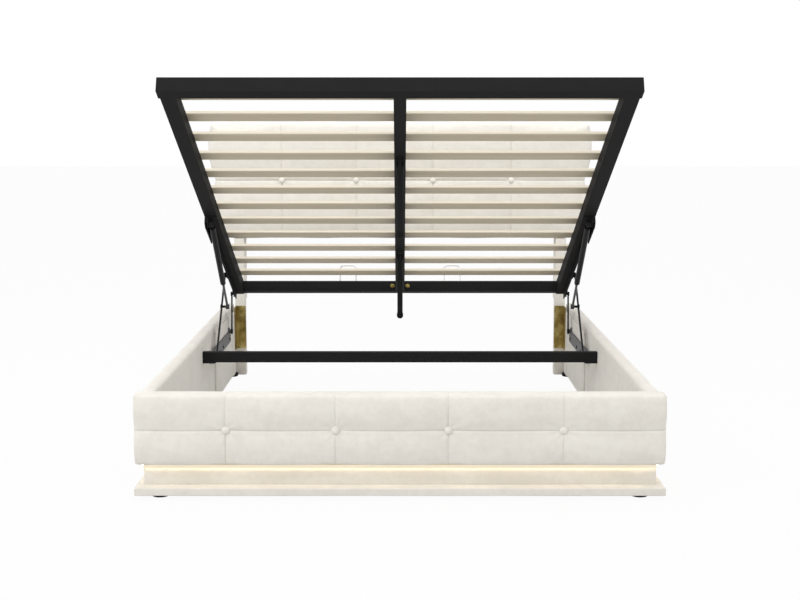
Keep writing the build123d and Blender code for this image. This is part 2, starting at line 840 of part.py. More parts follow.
def long_tube(x, width):
    with BuildPart(frame_plane) as tube:
        frame_box(x, tube_start, 0, width, tube_end - tube_start, tube_height)
        frame_box(
            x,
            tube_start - overrun,
            tube_wall,
            width - 2 * tube_wall,
            tube_end - tube_start + 2 * overrun,
            tube_height - 2 * tube_wall,
            mode=Mode.SUBTRACT,
        )
    return tube.part


keep_pair(long_tube((tube_inner + tube_outer) / 2, side_tube_width), "side_tube")
keep(long_tube(0, spine_width), "centre_spine")

with BuildPart(frame_plane) as bar_end_caps:
    for side in (-1, 1):
        outward = low if side > 0 else high
        for u, depth, half in ((0, head_bar_width, tube_outer), (tube_end, foot_bar_width, foot_bar_half)):
            with Locations((side * half, -u, 0)):
                Box(cap_thickness, depth, tube_height, align=(outward, high, low))
keep(bar_end_caps.part, "bar_end_caps")

# Slats on both sides of the spine, with the holders that carry their ends
slat_low = tube_height + slat_lift
slat_inner = spine_slat_gap
slat_outer = tube_outer - bar_overhang
slat_middle = (slat_inner + slat_outer) / 2
slat_length = slat_outer - slat_inner
slat_pitch = (frame_length - slat_first - slat_last_gap) / (slat_count - 1)
slat_places = [slat_first + i * slat_pitch for i in range(slat_count)]
with BuildPart(frame_plane) as slats:
    for place in slat_places:
        frame_box(slat_middle, place - slat_width / 2, slat_low, slat_length, slat_width, slat_thickness)
    chamfer(slats.edges().filter_by(Axis.X), length=slat_round)
keep_pair(slats.part, "slats")

holder_height = slat_lift + slat_thickness - slat_proud
holder_width = slat_width + 2 * holder_wall
outer_holder_x = slat_outer - holder_overlap + (holder_reach - holder_overlap) / 2
with BuildPart(frame_plane) as slat_holders:
    for place in slat_places:
        u = place - slat_width / 2 - holder_wall
        with Locations((0, -u, tube_height)):
            Box(spine_width, holder_width, holder_height, align=(mid, high, low))
        for side in (-1, 1):
            with Locations((side * (slat_outer + holder_wall), -u, tube_height)):
                Box(
                    holder_reach + holder_wall,
                    holder_width,
                    holder_height,
                    align=(high if side > 0 else low, high, low),
                )
        for side in (-1, 1):
            with Locations((side * slat_inner, -(u + holder_wall - holder_gap), slat_low - holder_gap)):
                Box(
                    slat_length + holder_gap,
                    slat_width + 2 * holder_gap,
                    slat_thickness + holder_gap,
                    align=(low if side > 0 else high, high, low),
                    mode=Mode.SUBTRACT,
                )
keep(slat_holders.part, "slat_holders")

# Wire loops that stop the mattress sliding, set in the top of the head bar
with BuildPart() as mattress_stops:
    for side in (-1, 1):
        stop_plane = Plane(
            origin=frame_plane.from_local_coords((side * stop_offset, -head_bar_width / 2, tube_height)),
            x_dir=(1, 0, 0),
            z_dir=-frame_plane.y_dir,
        )
        half = stop_width / 2 - stop_wire_radius
        with BuildLine(stop_plane) as stop_path:
            FilletPolyline((-half, 0), (-half, stop_height), (half, stop_height), (half, 0), radius=stop_bend)
        with BuildSketch(Plane(origin=stop_path.line @ 0, z_dir=stop_path.line % 0)):
            RegularPolygon(stop_wire_radius, wire_sides)
        sweep(path=stop_path.line)
keep(mattress_stops.part, "mattress_stops")

with BuildPart(frame_plane) as spine_bolts:
    for side in (-1, 1):
        with Locations((side * bolt_head_radius, -head_bar_width, tube_height / 2)):
            Cylinder(bolt_shank_radius / 2, bolt_head_height / 2, rotation=(90, 0, 0), align=(mid, mid, low))
keep(spine_bolts.part, "spine_bolts")

# Upper angles: under the side tubes, with ears and pins for the front link and the strut
angle_start = 0
angle_end = strut_pivot_u + angle_end_reach - link_end_radius
with BuildPart() as upper_angle:
    flange_low = flange_x - angle_sheet

    def frame_place(u, v):
        return frame_point(open_head, tilt, u, v)

    with BuildSketch(side_plane(flange_low)) as flange:
        with BuildLine():
            Polyline(
                frame_place(angle_start, 0),
                frame_place(angle_end, 0),
                frame_place(angle_end, -angle_drop),
                frame_place(angle_start, -angle_drop),
                close=True,
            )
        make_face()
        with Locations(front_top, rear_top, strut_top):
            Circle(angle_ear_radius)
    extrude(amount=angle_sheet)
    with BuildSketch(side_plane(tube_inner)):
        with BuildLine():
            Polyline(
                frame_place(angle_start, 0),
                frame_place(angle_end, 0),
                frame_place(angle_end, -angle_sheet),
                frame_place(angle_start, -angle_sheet),
                close=True,
            )
        make_face()
    extrude(amount=flange_low - tube_inner)
    with BuildSketch(side_plane(link_outer - angle_sheet)):
        with BuildLine():
            Polyline(
                frame_place(cheek_start, 0),
                frame_place(angle_end, 0),
                frame_place(angle_end, -angle_drop),
                frame_place(strut_pivot_u - angle_ear_radius / 2, -cheek_drop),
                frame_place(cheek_start, -cheek_drop),
                close=True,
            )
        make_face()
    extrude(amount=angle_sheet)
    with BuildSketch(side_plane(flange_x)):
        with BuildLine():
            Polyline(
                frame_place(cheek_start, 0),
                frame_place(angle_end, 0),
                frame_place(angle_end, -angle_drop),
                frame_place(angle_end - angle_sheet, -angle_drop),
                frame_place(angle_end - angle_sheet, -angle_sheet),
                frame_place(cheek_start, -angle_sheet),
                close=True,
            )
        make_face()
    extrude(amount=link_outer - flange_x)
    add(disc(flange_x, link_inner - side_gap, front_top, head_radius))
    add(disc(link_inner - side_gap, link_outer + side_gap, front_top, pin_radius))
    add(disc(link_outer + side_gap, link_outer + side_gap + head_height, front_top, head_radius))
    add(disc(eye_high + side_gap, flange_low, strut_top, head_radius))
    add(disc(eye_low - side_gap, eye_high + side_gap, strut_top, pin_radius))
    add(disc(eye_low - side_gap - head_height, eye_low - side_gap, strut_top, head_radius))
keep_pair(upper_angle.part, "upper_angle")

# Centre legs: ears under the spine, tube and tip hanging plumb from the hinge pin
leg_ears_x = leg_tube_radius + side_gap
leg_pivots = [
    frame_point(open_head, tilt, place, -leg_pivot_drop) for place in (front_leg_place, rear_leg_place)
]
leg_drop = closed_height - leg_pivot_drop - leg_floor_gap
with BuildPart() as centre_leg_brackets:
    for place, pivot in zip((front_leg_place, rear_leg_place), leg_pivots):
        for side in (-1, 1):
            ear_x = leg_ears_x if side > 0 else -leg_ears_x - leg_ear_thickness
            with BuildSketch(side_plane(ear_x)):
                with BuildLine():
                    Polyline(
                        frame_place(place - leg_ear_width, 0),
                        frame_place(place + leg_ear_width, 0),
                        frame_place(place + leg_ear_width / 2, -leg_pivot_drop),
                        frame_place(place - leg_ear_width / 2, -leg_pivot_drop),
                        close=True,
                    )
                make_face()
                with Locations(pivot):
                    Circle(leg_ear_width / 2)
            extrude(amount=leg_ear_thickness)
        add(disc(-leg_ears_x - leg_ear_thickness, leg_ears_x + leg_ear_thickness, pivot, leg_pin_radius))
keep(centre_leg_brackets.part, "centre_leg_brackets")

for name, pivot in zip(("front", "rear"), leg_pivots):
    tip_z = pivot[1] - leg_drop
    with BuildPart() as centre_leg:
        with BuildSketch(Plane.XY.offset(tip_z + leg_tip_height)):
            with Locations((0, pivot[0])):
                Circle(leg_tube_radius)
        extrude(amount=leg_drop - leg_tip_height + leg_top_reach)
        add(disc(-leg_ears_x, leg_ears_x, pivot, leg_pin_radius + pin_clearance), mode=Mode.SUBTRACT)
    keep(centre_leg.part, f"centre_leg_{name}")

    with BuildPart() as leg_tip:
        with BuildSketch(Plane(origin=(0, pivot[0], tip_z), x_dir=(1, 0, 0), z_dir=(0, -1, 0))):
            Polygon(
                (0, 0),
                (leg_tip_radius - leg_tip_round, 0),
                (leg_tip_radius - leg_tip_round / 3, leg_tip_round / 3),
                (leg_tip_radius, leg_tip_round),
                (leg_tip_radius, leg_tip_height),
                (0, leg_tip_height),
                align=None,
            )
        revolve(axis=Axis((0, pivot[0], tip_z), (0, 0, 1)))
    keep(leg_tip.part, f"leg_tip_{name}")

# Pivot places and travels, in millimetres and degrees, for checking
rear_closed = frame_point(closed_head, 0, rear_pivot_u, rear_pivot_v)
front_closed = frame_point(closed_head, 0, front_pivot_u, front_pivot_v)
strut_closed = frame_point(closed_head, 0, strut_pivot_u, strut_pivot_v)
knee_closed = tuple(b + knee_share * (t - b) for b, t in zip(front_base, front_closed))


def heading(start, end):
    return degrees(atan2(end[1] - start[1], end[0] - start[0]))


print("rear base", rear_base, "rear top", rear_top, "front base", front_base, "front top", front_top)
print("knee", knee, "strut top", strut_top, "strut axis", strut_axis, "leg pivots", leg_pivots)
print("front link travel", heading(front_base, front_top) - heading(front_base, front_closed))
print("rear link travel", heading(rear_base, rear_top) - heading(rear_base, rear_closed))
print("strut travel", heading(strut_closed, knee_closed) - heading(strut_top, knee))
print("strut lengths", strut_length, hypot(knee_closed[0] - strut_closed[0], knee_closed[1] - strut_closed[1]))
print("link lengths", hypot(front_top[0] - front_base[0], front_top[1] - front_base[1]),
      hypot(front_closed[0] - front_base[0], front_closed[1] - front_base[1]))
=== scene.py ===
import json
from math import atan2, cos, exp, hypot, pi, radians, sin

import bmesh
import bpy
from mathutils import Matrix, Vector, noise


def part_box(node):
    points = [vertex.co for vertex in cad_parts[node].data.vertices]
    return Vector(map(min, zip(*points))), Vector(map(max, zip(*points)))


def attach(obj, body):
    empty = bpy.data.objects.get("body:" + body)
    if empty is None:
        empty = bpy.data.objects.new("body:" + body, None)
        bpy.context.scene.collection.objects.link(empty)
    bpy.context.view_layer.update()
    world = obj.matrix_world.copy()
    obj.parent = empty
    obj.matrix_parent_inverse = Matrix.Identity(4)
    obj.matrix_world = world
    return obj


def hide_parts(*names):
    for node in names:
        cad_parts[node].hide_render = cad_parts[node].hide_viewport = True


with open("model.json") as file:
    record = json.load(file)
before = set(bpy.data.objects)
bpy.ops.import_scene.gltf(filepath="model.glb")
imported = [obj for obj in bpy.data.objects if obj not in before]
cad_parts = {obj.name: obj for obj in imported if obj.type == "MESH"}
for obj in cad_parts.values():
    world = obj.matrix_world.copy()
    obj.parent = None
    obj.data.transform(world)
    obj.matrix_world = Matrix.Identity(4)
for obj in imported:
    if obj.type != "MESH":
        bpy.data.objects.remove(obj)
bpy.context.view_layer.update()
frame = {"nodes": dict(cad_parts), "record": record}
nodes = frame["nodes"]
scene = bpy.context.scene
print("frame loaded:", len(nodes), "parts")

# The slatted base leans by this much
# u runs from its head bar to its foot bar, and v stands up from its underside
lean = {"tilt": radians(25.4), "headY": 0.8475, "headZ": 0.4012}


def leanPoint(x, u, v):
    c, s = cos(lean["tilt"]), sin(lean["tilt"])
    return Vector((x, lean["headY"] - u * c + v * s, lean["headZ"] + u * s + v * c))


# A socket that takes part in sums, so that shader maths reads as maths
class Wire:
    def __init__(self, shader, socket):
        self.shader, self.socket = shader, socket

    def math(self, operation, first, second=None):
        values = {0: first} if second is None else {0: first, 1: second}
        return self.shader.node("ShaderNodeMath", {"operation": operation}, values)

    def __add__(self, other):
        return self.math("ADD", self, other)

    def __sub__(self, other):
        return self.math("SUBTRACT", self, other)

    def __rsub__(self, other):
        return self.math("SUBTRACT", other, self)

    def __mul__(self, other):
        return self.math("MULTIPLY", self, other)

    __radd__ = __add__
    __rmul__ = __mul__

    def absolute(self):
        return self.math("ABSOLUTE", self)

    def lower(self, other):
        return self.math("MINIMUM", self, other)

    def higher(self, other):
        return self.math("MAXIMUM", self, other)

    def below(self, other):
        return self.math("LESS_THAN", self, other)

    def sine(self):
        return self.math("SINE", self)


class Shader:
    def __init__(self, name, holder=None, surface="Principled BSDF", **constants):
        self.material = holder or bpy.data.materials.new(name)
        self.material.use_nodes = True
        self.tree = self.material.node_tree
        self.surface = self.tree.nodes[surface]
        self.feed(**constants)

    def node(self, kind, settings=None, values=None, out=0):
        made = self.tree.nodes.new(kind)
        for key, value in (settings or {}).items():
            if key == "stops":
                ramp = made.color_ramp
                while len(ramp.elements) < len(value):
                    ramp.elements.new(1.0)
                for element, (place, colour) in zip(ramp.elements, value):
                    element.position, element.color = place, (*colour, 1)
            else:
                setattr(made, key, value)
        for key, value in (values or {}).items():
            self.put(made.inputs[key], value)
        return Wire(self, made.outputs[out])

    def put(self, socket, value):
        if isinstance(value, Wire):
            self.tree.links.new(value.socket, socket)
        else:
            plainColour = socket.type == "RGBA" and len(value) == 3
            socket.default_value = (*value, 1) if plainColour else value

    def feed(self, **links):
        for label, value in links.items():
            self.put(self.surface.inputs[label.replace("_", " ")], value)
        return self.material

    def place(self):
        return self.node("ShaderNodeTexCoord", out=3)

    def axes(self):
        split = self.node("ShaderNodeSeparateXYZ", None, {0: self.place()}).socket.node
        return [Wire(self, split.outputs[i]) for i in range(3)]

    def vector(self, x, y, z):
        return self.node("ShaderNodeCombineXYZ", None, {0: x, 1: y, 2: z})

    def noise(self, scale, detail=3.0, rough=0.5, at=None):
        values = {"Vector": at or self.place(), "Scale": scale, "Detail": detail, "Roughness": rough}
        return self.node("ShaderNodeTexNoise", None, values)

    def mix(self, factor, first, second):
        return self.node("ShaderNodeMix", {"data_type": "RGBA"}, {0: factor, 6: first, 7: second}, out=2)

    def bump(self, height, strength, distance):
        values = {"Strength": strength, "Distance": distance, "Height": height}
        return self.node("ShaderNodeBump", None, values)

    def seenRays(self):
        # 1 for rays from the camera and for gloss and glass, 0 for the light on the bed
        rays = self.node("ShaderNodeLightPath", out="Is Camera Ray")
        others = rays.socket.node.outputs
        for label in ("Is Glossy Ray", "Is Transmission Ray"):
            rays = rays.higher(Wire(self, others[label]))
        return rays


# Cream velvet, whose nap is brushed light and dark in soft patches
velvetLook = {
    "pale": (0.80, 0.772, 0.712),
    "brushed": (0.738, 0.705, 0.645),
    "patchScale": 9.0,
    "smallPatchScale": 44.0,
    "pileScale": 750.0,
    "pileHeight": 0.0006,
    "streakScale": 14.0,
    "napLow": 0.38,
    "napHigh": 0.62,
    "seamShade": 0.80,
    "seamWidth": 0.0010,
    "seamShare": 0.4,
}
clothLook = dict(velvetLook, pale=(0.74, 0.71, 0.64), brushed=(0.68, 0.65, 0.58), pileScale=420.0)


def makeVelvet(name, look, seamsX=(), seamZ=None, shift=0.0):
    shader = Shader(name, Sheen_Weight=0.25, Sheen_Roughness=0.45, Specular_IOR_Level=0.2)
    x, y, z = shader.axes()
    at = shader.vector(x + shift, y, z)
    patch = shader.noise(look["patchScale"], 4.0, 0.6, at)
    small = shader.noise(look["smallPatchScale"], 5.0, 0.65, at)
    streak = shader.noise(look["streakScale"], 3.0, 0.5, shader.vector(x * 0.4 + z * 0.3, y, z * 1.6))
    blend = patch * 0.32 + small * 0.38 + streak * 0.3
    nap = shader.node("ShaderNodeMapRange", {"interpolation_type": "SMOOTHSTEP"},
                      {0: blend, 1: look["napLow"], 2: look["napHigh"]})
    colour = shader.mix(nap, look["brushed"], look["pale"])
    if seamsX:  # the stitched lines gather a little shade
        near = (z - seamZ).absolute()
        for seam in seamsX:
            near = near.lower((x - seam).absolute())
        shade = tuple(c * look["seamShade"] for c in look["pale"])
        colour = shader.mix(near.below(look["seamWidth"]) * look["seamShare"], colour, shade)
    pile = shader.noise(look["pileScale"], 2.0, 0.7)
    normal = shader.bump(pile + small * 0.6, 0.35, look["pileHeight"])
    return shader.feed(Base_Color=colour, Roughness=0.74 + nap * 0.16, Normal=normal)


steelLook = {
    "frame": {"colour": (0.017, 0.017, 0.0172), "rough": 0.58, "grain": 420.0},
    "links": {"colour": (0.012, 0.012, 0.0125), "rough": 0.50, "grain": 520.0},
    "plates": {"colour": (0.115, 0.115, 0.12), "rough": 0.40, "grain": 460.0},
    "plastic": {"colour": (0.012, 0.012, 0.0125), "rough": 0.58, "grain": 240.0},
}


def makeCoat(name, look, clearcoat=0.0):
    shader = Shader(name, Coat_Weight=clearcoat, Coat_Roughness=0.2, Specular_IOR_Level=0.03)
    grain = shader.noise(look["grain"], 2.0, 0.6)
    cloud = shader.noise(12.0, 3.0)
    deep, pale = (tuple(c * share for c in look["colour"]) for share in (0.88, 1.14))
    colour = shader.mix(cloud, deep, pale)
    normal = shader.bump(grain, 0.22, 0.0004)
    return shader.feed(Base_Color=colour, Roughness=look["rough"] - 0.06 + cloud * 0.12, Normal=normal)


zincLook = {"deep": (0.17, 0.12, 0.03), "gold": (0.30, 0.225, 0.065), "pale": (0.50, 0.40, 0.17),
            "cloudScale": 26.0, "rolledScale": 60.0}


def makeZinc(name, look):
    shader = Shader(name, Metallic=0.9)
    hue = shader.noise(look["cloudScale"], 4.0, 0.6)
    x, y, z = shader.axes()
    rolled = shader.noise(look["rolledScale"], 2.0, 0.5, shader.vector(x * 6, y * 6, z * 0.3))
    stops = [(0.34, look["deep"]), (0.5, look["gold"]), (0.66, look["pale"])]
    colour = shader.node("ShaderNodeValToRGB", {"stops": stops}, {0: hue})
    normal = shader.bump(rolled, 0.12, 0.0003)
    return shader.feed(Base_Color=colour, Roughness=0.26 + rolled * 0.2, Normal=normal)


def makeWire(name, colour, rough):
    shader = Shader(name, Metallic=0.92)
    drawn = shader.noise(180.0, 2.0)
    tone = shader.mix(drawn, tuple(c * 0.9 for c in colour), colour)
    return shader.feed(Base_Color=tone, Roughness=rough + drawn * 0.1)


# The edge tone and its share paint a highlight on the slats' edge faces
slatLook = {"light": (0.64, 0.57, 0.44), "dark": (0.52, 0.44, 0.315), "ply": 0.0024,
            "edgeHighlightTone": (0.80, 0.74, 0.63), "plyTone": (0.60, 0.52, 0.40),
            "edgeHighlightShare": 0.75, "plyShare": 0.45,
            "grain": (1.3, 55), "fleck": (60, 900), "board": (0.02, 6.3)}  # stretch along and across a slat


def makeBirch(name, look):
    shader = Shader(name, Specular_IOR_Level=0.4, Coat_Weight=0.12, Coat_Roughness=0.35)
    x, y, z = shader.axes()
    c, s = cos(lean["tilt"]), sin(lean["tilt"])
    u, v = z * s - y * c, y * s + z * c
    along, across = look["grain"]
    grain = shader.noise(1.0, 5.0, 0.65, shader.vector(x * along, u * across, v * across))
    along, across = look["fleck"]
    fleck = shader.noise(1.0, 2.0, 0.5, shader.vector(x * along, u * across, v * across))
    along, across = look["board"]
    board = shader.noise(1.0, 0.0, 0.5, shader.vector(x * along, u * across, 0.0))
    blend = grain * 0.6 + fleck * 0.15 + board * 0.25
    tone = shader.node("ShaderNodeMapRange", None, {0: blend, 1: 0.36, 2: 0.64})
    colour = shader.mix(tone, look["dark"], look["light"])
    plies = (v * (pi / look["ply"])).sine()  # glued veneers show as thin lines on the edges
    facing = shader.node("ShaderNodeTexCoord", out=1)
    tilted = shader.node("ShaderNodeVectorMath", {"operation": "DOT_PRODUCT"},
                         {0: facing, 1: (0.0, s, c)}, out=1)
    edge = tilted.absolute().below(0.5)
    # painted highlight: the slats' edge faces are made paler than their broad faces, standing for the light
    # they catch
    colour = shader.mix(edge * look["edgeHighlightShare"], colour, look["edgeHighlightTone"])
    colour = shader.mix(edge * plies.below(-0.55) * look["plyShare"], colour, look["plyTone"])
    normal = shader.bump(grain + fleck * 0.3, 0.25, 0.0005)
    return shader.feed(Base_Color=colour, Roughness=0.48 + grain * 0.14, Normal=normal)


def makeGlow(name, colour, strength):
    shader = Shader(name, Emission_Strength=strength)
    x, y, z = shader.axes()
    beads = ((x * 300).sine() * (y * 300).sine()) * 0.04 + 0.96
    warm = shader.mix(beads, tuple(c * 0.9 for c in colour), colour)
    return shader.feed(Base_Color=warm, Emission_Color=warm, Roughness=0.5 + beads * 0.05)


seamLines = {"x": (-0.53955, -0.19965, 0.15015, 0.50655), "footZ": 0.2185, "headZ": 0.8985}
finish = {
    "velvet": makeVelvet("creamVelvet", velvetLook),
    "footVelvet": makeVelvet("creamVelvetFoot", velvetLook, seamLines["x"], seamLines["footZ"], 3.1),
    "headVelvet": makeVelvet("creamVelvetHead", velvetLook, seamLines["x"], seamLines["headZ"], 7.7),
    "buttonVelvet": makeVelvet("buttonVelvet", dict(velvetLook, patchScale=40.0, smallPatchScale=110.0)),
    "cloth": makeVelvet("rearCloth", clothLook),
    "frame": makeCoat("blackPowderCoat", steelLook["frame"]),
    "links": makeCoat("blackLinkPaint", steelLook["links"]),
    "plates": makeCoat("greyPlatePaint", steelLook["plates"]),
    "gloss": makeCoat("blackCylinderPaint", dict(steelLook["links"], rough=0.34), 0.12),
    "plastic": makeCoat("blackMouldedPlastic", steelLook["plastic"]),
    "rod": makeWire("darkRod", (0.07, 0.07, 0.075), 0.16),
    "bolt": makeWire("boltZinc", (0.46, 0.46, 0.47), 0.30),
    "wire": makeWire("platedWire", (0.62, 0.62, 0.60), 0.20),
    "zinc": makeZinc("yellowZinc", zincLook),
    "birch": makeBirch("birchPlySlats", slatLook),
    "aluminium": makeGlow("satinChannelPaintedGlow", (0.93, 0.84, 0.66), 0.28),  # painted glow: the channel gives off a faint light of its own, standing for the strip's light scattered along it
    "glow": makeGlow("warmStrip", (1.0, 0.875, 0.66), 4.4),
}
slotFinish = {
    "velvet": "velvet", "button_velvet": "buttonVelvet", "board": "birch", "lining_cloth": "cloth",
    "aluminium": "aluminium", "diffuser": "glow", "black_plastic": "plastic", "yellow_zinc": "zinc",
    "grey_steel": "plates", "bolt_steel": "bolt", "black_steel": "frame", "dark_steel": "rod",
    "wire": "wire", "slat_wood": "birch",
}
nodeFinish = {
    "strut_cylinder_left": "gloss", "strut_cylinder_right": "gloss", "front_link_left": "links",
    "front_link_right": "links", "rear_link_left": "links", "rear_link_right": "links",
}
for part in frame["record"]["subparts"]:
    target = nodes[part["node"]]
    chosen = finish[nodeFinish.get(part["node"], slotFinish[part["material_slot"]])]
    if not target.material_slots:
        target.data.materials.append(chosen)
    for held in target.material_slots:
        held.material = chosen
print("finishes:", len(finish))


# A finished bmesh becomes a piece that rides on a body
def newPiece(name, bm, material, body, smooth=True):
    mesh = bpy.data.meshes.new(name)
    bm.to_mesh(mesh)
    bm.free()
    piece = bpy.data.objects.new(name, mesh)
    scene.collection.objects.link(piece)
    mesh.materials.append(finish[material])
    mesh.polygons.foreach_set("use_smooth", [smooth] * len(mesh.polygons))
    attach(piece, body)
    return piece


def mergedCopy(node):
    bm = bmesh.new()
    bm.from_mesh(nodes[node].data)
    bmesh.ops.remove_doubles(bm, verts=bm.verts, dist=0.00002)
    for face in bm.faces:
        face.material_index = 0
    return bm


def bakeModifiers(piece):
    bpy.context.view_layer.update()
    baked = bpy.data.meshes.new_from_object(piece.evaluated_get(bpy.context.evaluated_depsgraph_get()))
    piece.modifiers.clear()
    piece.data = baked
    baked.polygons.foreach_set("use_smooth", [True] * len(baked.polygons))


def remesh(piece, voxel):
    step = piece.modifiers.new("voxels", "REMESH")
    step.mode, step.voxel_size = "VOXEL", voxel
    bakeModifiers(piece)


def relax(piece, rounds):
    bm = bmesh.new()
    bm.from_mesh(piece.data)
    for _ in range(rounds):
        bmesh.ops.smooth_vert(bm, verts=bm.verts, factor=0.5,
                              use_axis_x=True, use_axis_y=True, use_axis_z=True)
    bm.to_mesh(piece.data)
    bm.free()


settleFrames = 20  # the air is in by then


def inflate(piece, isHeld, look):
    mesh = piece.data
    start = [v.co.copy() for v in mesh.vertices]
    held = piece.vertex_groups.new(name="held")
    normals = [v.normal.copy() for v in mesh.vertices]
    for v, place, normal in zip(mesh.vertices, start, normals):
        held.add([v.index], 1.0 if isHeld(place, normal) else 0.0, "REPLACE")
    cloth = piece.modifiers.new("Cloth", "CLOTH")
    settings = cloth.settings
    settings.use_pressure, settings.uniform_pressure_force = True, look["pressure"]
    settings.vertex_group_mass = "held"
    settings.effector_weights.gravity = 0
    settings.tension_stiffness = settings.compression_stiffness = look["stiffness"]
    settings.bending_stiffness = look["bending"]
    for number in range(1, settleFrames + 1):
        scene.frame_set(number)
    puffed = piece.evaluated_get(bpy.context.evaluated_depsgraph_get()).to_mesh()
    moved = [v.co.copy() for v in puffed.vertices]
    piece.modifiers.clear()
    piece.vertex_groups.clear()
    for v, was, now in zip(piece.data.vertices, start, moved):
        step = now - was
        if step.length > look["cap"]:
            step *= look["cap"] / step.length
        v.co = was + step
    scene.frame_set(1)


def subdivide(piece):
    step = piece.modifiers.new("soften", "SUBSURF")
    step.levels = step.render_levels = 1
    bakeModifiers(piece)


def cutLine(bm, point, normal, reach):
    # A cut through the faces near a plane, so that a narrow groove has edges to follow
    near = [f for f in bm.faces if abs((f.calc_center_median() - point).dot(normal)) < reach]
    geometry = set(near) | {e for f in near for e in f.edges} | {v for f in near for v in f.verts}
    bmesh.ops.bisect_plane(bm, geom=list(geometry), plane_co=point, plane_no=normal, dist=0.00001)


stitching = {"cut": 0.014, "facing": 0.25, "foldStart": 0.012, "foldEnd": 0.14, "folds": 8, "twist": 18,
             "rim": 0.02, "fade": 0.045, "heldSeam": 0.01}


def stitchTufts(piece, look, rowZ):
    bm = bmesh.new()
    bm.from_mesh(piece.data)
    for shift in (-look["halfGroove"], 0.0, look["halfGroove"]):
        cutLine(bm, Vector((0, 0, rowZ + shift)), Vector((0, 0, 1)), stitching["cut"])
        for seam in seamLines["x"]:
            cutLine(bm, Vector((seam + shift, 0, 0)), Vector((1, 0, 0)), stitching["cut"])
    bm.normal_update()
    for v in bm.verts:
        facing = max(0.0, -v.normal.y)
        if facing < stitching["facing"] or v.co.y > look["frontLimit"]:
            continue
        nearest = min(abs(v.co.z - rowZ), *(abs(v.co.x - seam) for seam in seamLines["x"]))
        sunk = look["groove"] * exp(-(nearest / look["halfGroove"]) ** 2)
        for seam in seamLines["x"]:  # folds run out from each button and die away
            r = hypot(v.co.x - seam, v.co.z - rowZ)
            if stitching["foldStart"] < r < stitching["foldEnd"]:
                turn = atan2(v.co.z - rowZ, v.co.x - seam)
                wave = cos(stitching["folds"] * turn + 3 * sin(seam * 40) + stitching["twist"] * r)
                sunk += look["fold"] * wave * exp(-((r - stitching["rim"]) / stitching["fade"]))
        ripple = noise.noise(Vector((v.co.x * 7 + 11, v.co.z * 9, rowZ * 5))) * look["ripple"]
        v.co.y += (sunk + ripple) * facing
    bm.to_mesh(piece.data)
    bm.free()
    piece.data.polygons.foreach_set("use_smooth", [True] * len(piece.data.polygons))


# Both tufted cushions are made alike: even voxels, air between the held seams, then the stitched grooves
def makeTufted(name, node, look, rowZ, material):
    piece = newPiece(name, mergedCopy(node), material, "base")
    remesh(piece, look["voxel"])
    piece.data.materials.clear()
    piece.data.materials.append(finish[material])
    relax(piece, 2)

    def isHeld(place, normal):
        acrossSeams = min(abs(place.x - seam) for seam in seamLines["x"])
        nearSeam = min(abs(place.z - rowZ), acrossSeams) < stitching["heldSeam"]
        return nearSeam or normal.y > 0.3 or normal.z < -0.6 or place.y > look["frontLimit"] + 0.03

    inflate(piece, isHeld, look)
    subdivide(piece)
    stitchTufts(piece, look, rowZ)
    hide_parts(node)
    print(name, len(piece.data.polygons))


footCushion = {"voxel": 0.008, "pressure": 4.0, "stiffness": 18.0, "bending": 1.0, "cap": 0.0035,
               "groove": 0.0029, "halfGroove": 0.0026, "fold": 0.0009, "ripple": 0.0011, "frontLimit": -1.06}
makeTufted("footboardCushion", "footboard_upholstery", footCushion, seamLines["footZ"], "footVelvet")

headCushion = {"voxel": 0.010, "pressure": 4.0, "stiffness": 15.0, "bending": 0.8, "cap": 0.007,
               "groove": 0.0048, "halfGroove": 0.0030, "fold": 0.0016, "ripple": 0.0016, "frontLimit": 1.04}
makeTufted("headboardCushion", "headboard_upholstery", headCushion, seamLines["headZ"], "headVelvet")

# The rails' cushions are crowned on their outer face and top, and held flat elsewhere
railCushion = {"voxel": 0.010, "pressure": 4.0, "stiffness": 20.0, "bending": 1.0, "cap": 0.003,
               "ripple": 0.0009, "skirt": 0.12}
for side in ("left", "right"):
    node = f"side_rail_upholstery_{side}"
    outward = -1 if side == "left" else 1
    piece = newPiece(f"railCushion{side.title()}", mergedCopy(node), "velvet", "base")
    remesh(piece, railCushion["voxel"])
    piece.data.materials.clear()
    piece.data.materials.append(finish["velvet"])
    relax(piece, 2)

    def isHeld(place, normal):
        return normal.x * outward < 0.2 and normal.z < 0.4 or place.z < railCushion["skirt"]

    inflate(piece, isHeld, railCushion)
    subdivide(piece)
    normals = [v.normal.copy() for v in piece.data.vertices]  # read first, because each move renews them all
    for v, normal in zip(piece.data.vertices, normals):
        if normal.x * outward > 0.5 or normal.z > 0.5:
            v.co += normal * noise.noise(Vector((v.co.y * 5, v.co.z * 9, outward))) * railCushion["ripple"]
    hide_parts(node)
    print(piece.name, len(piece.data.polygons))

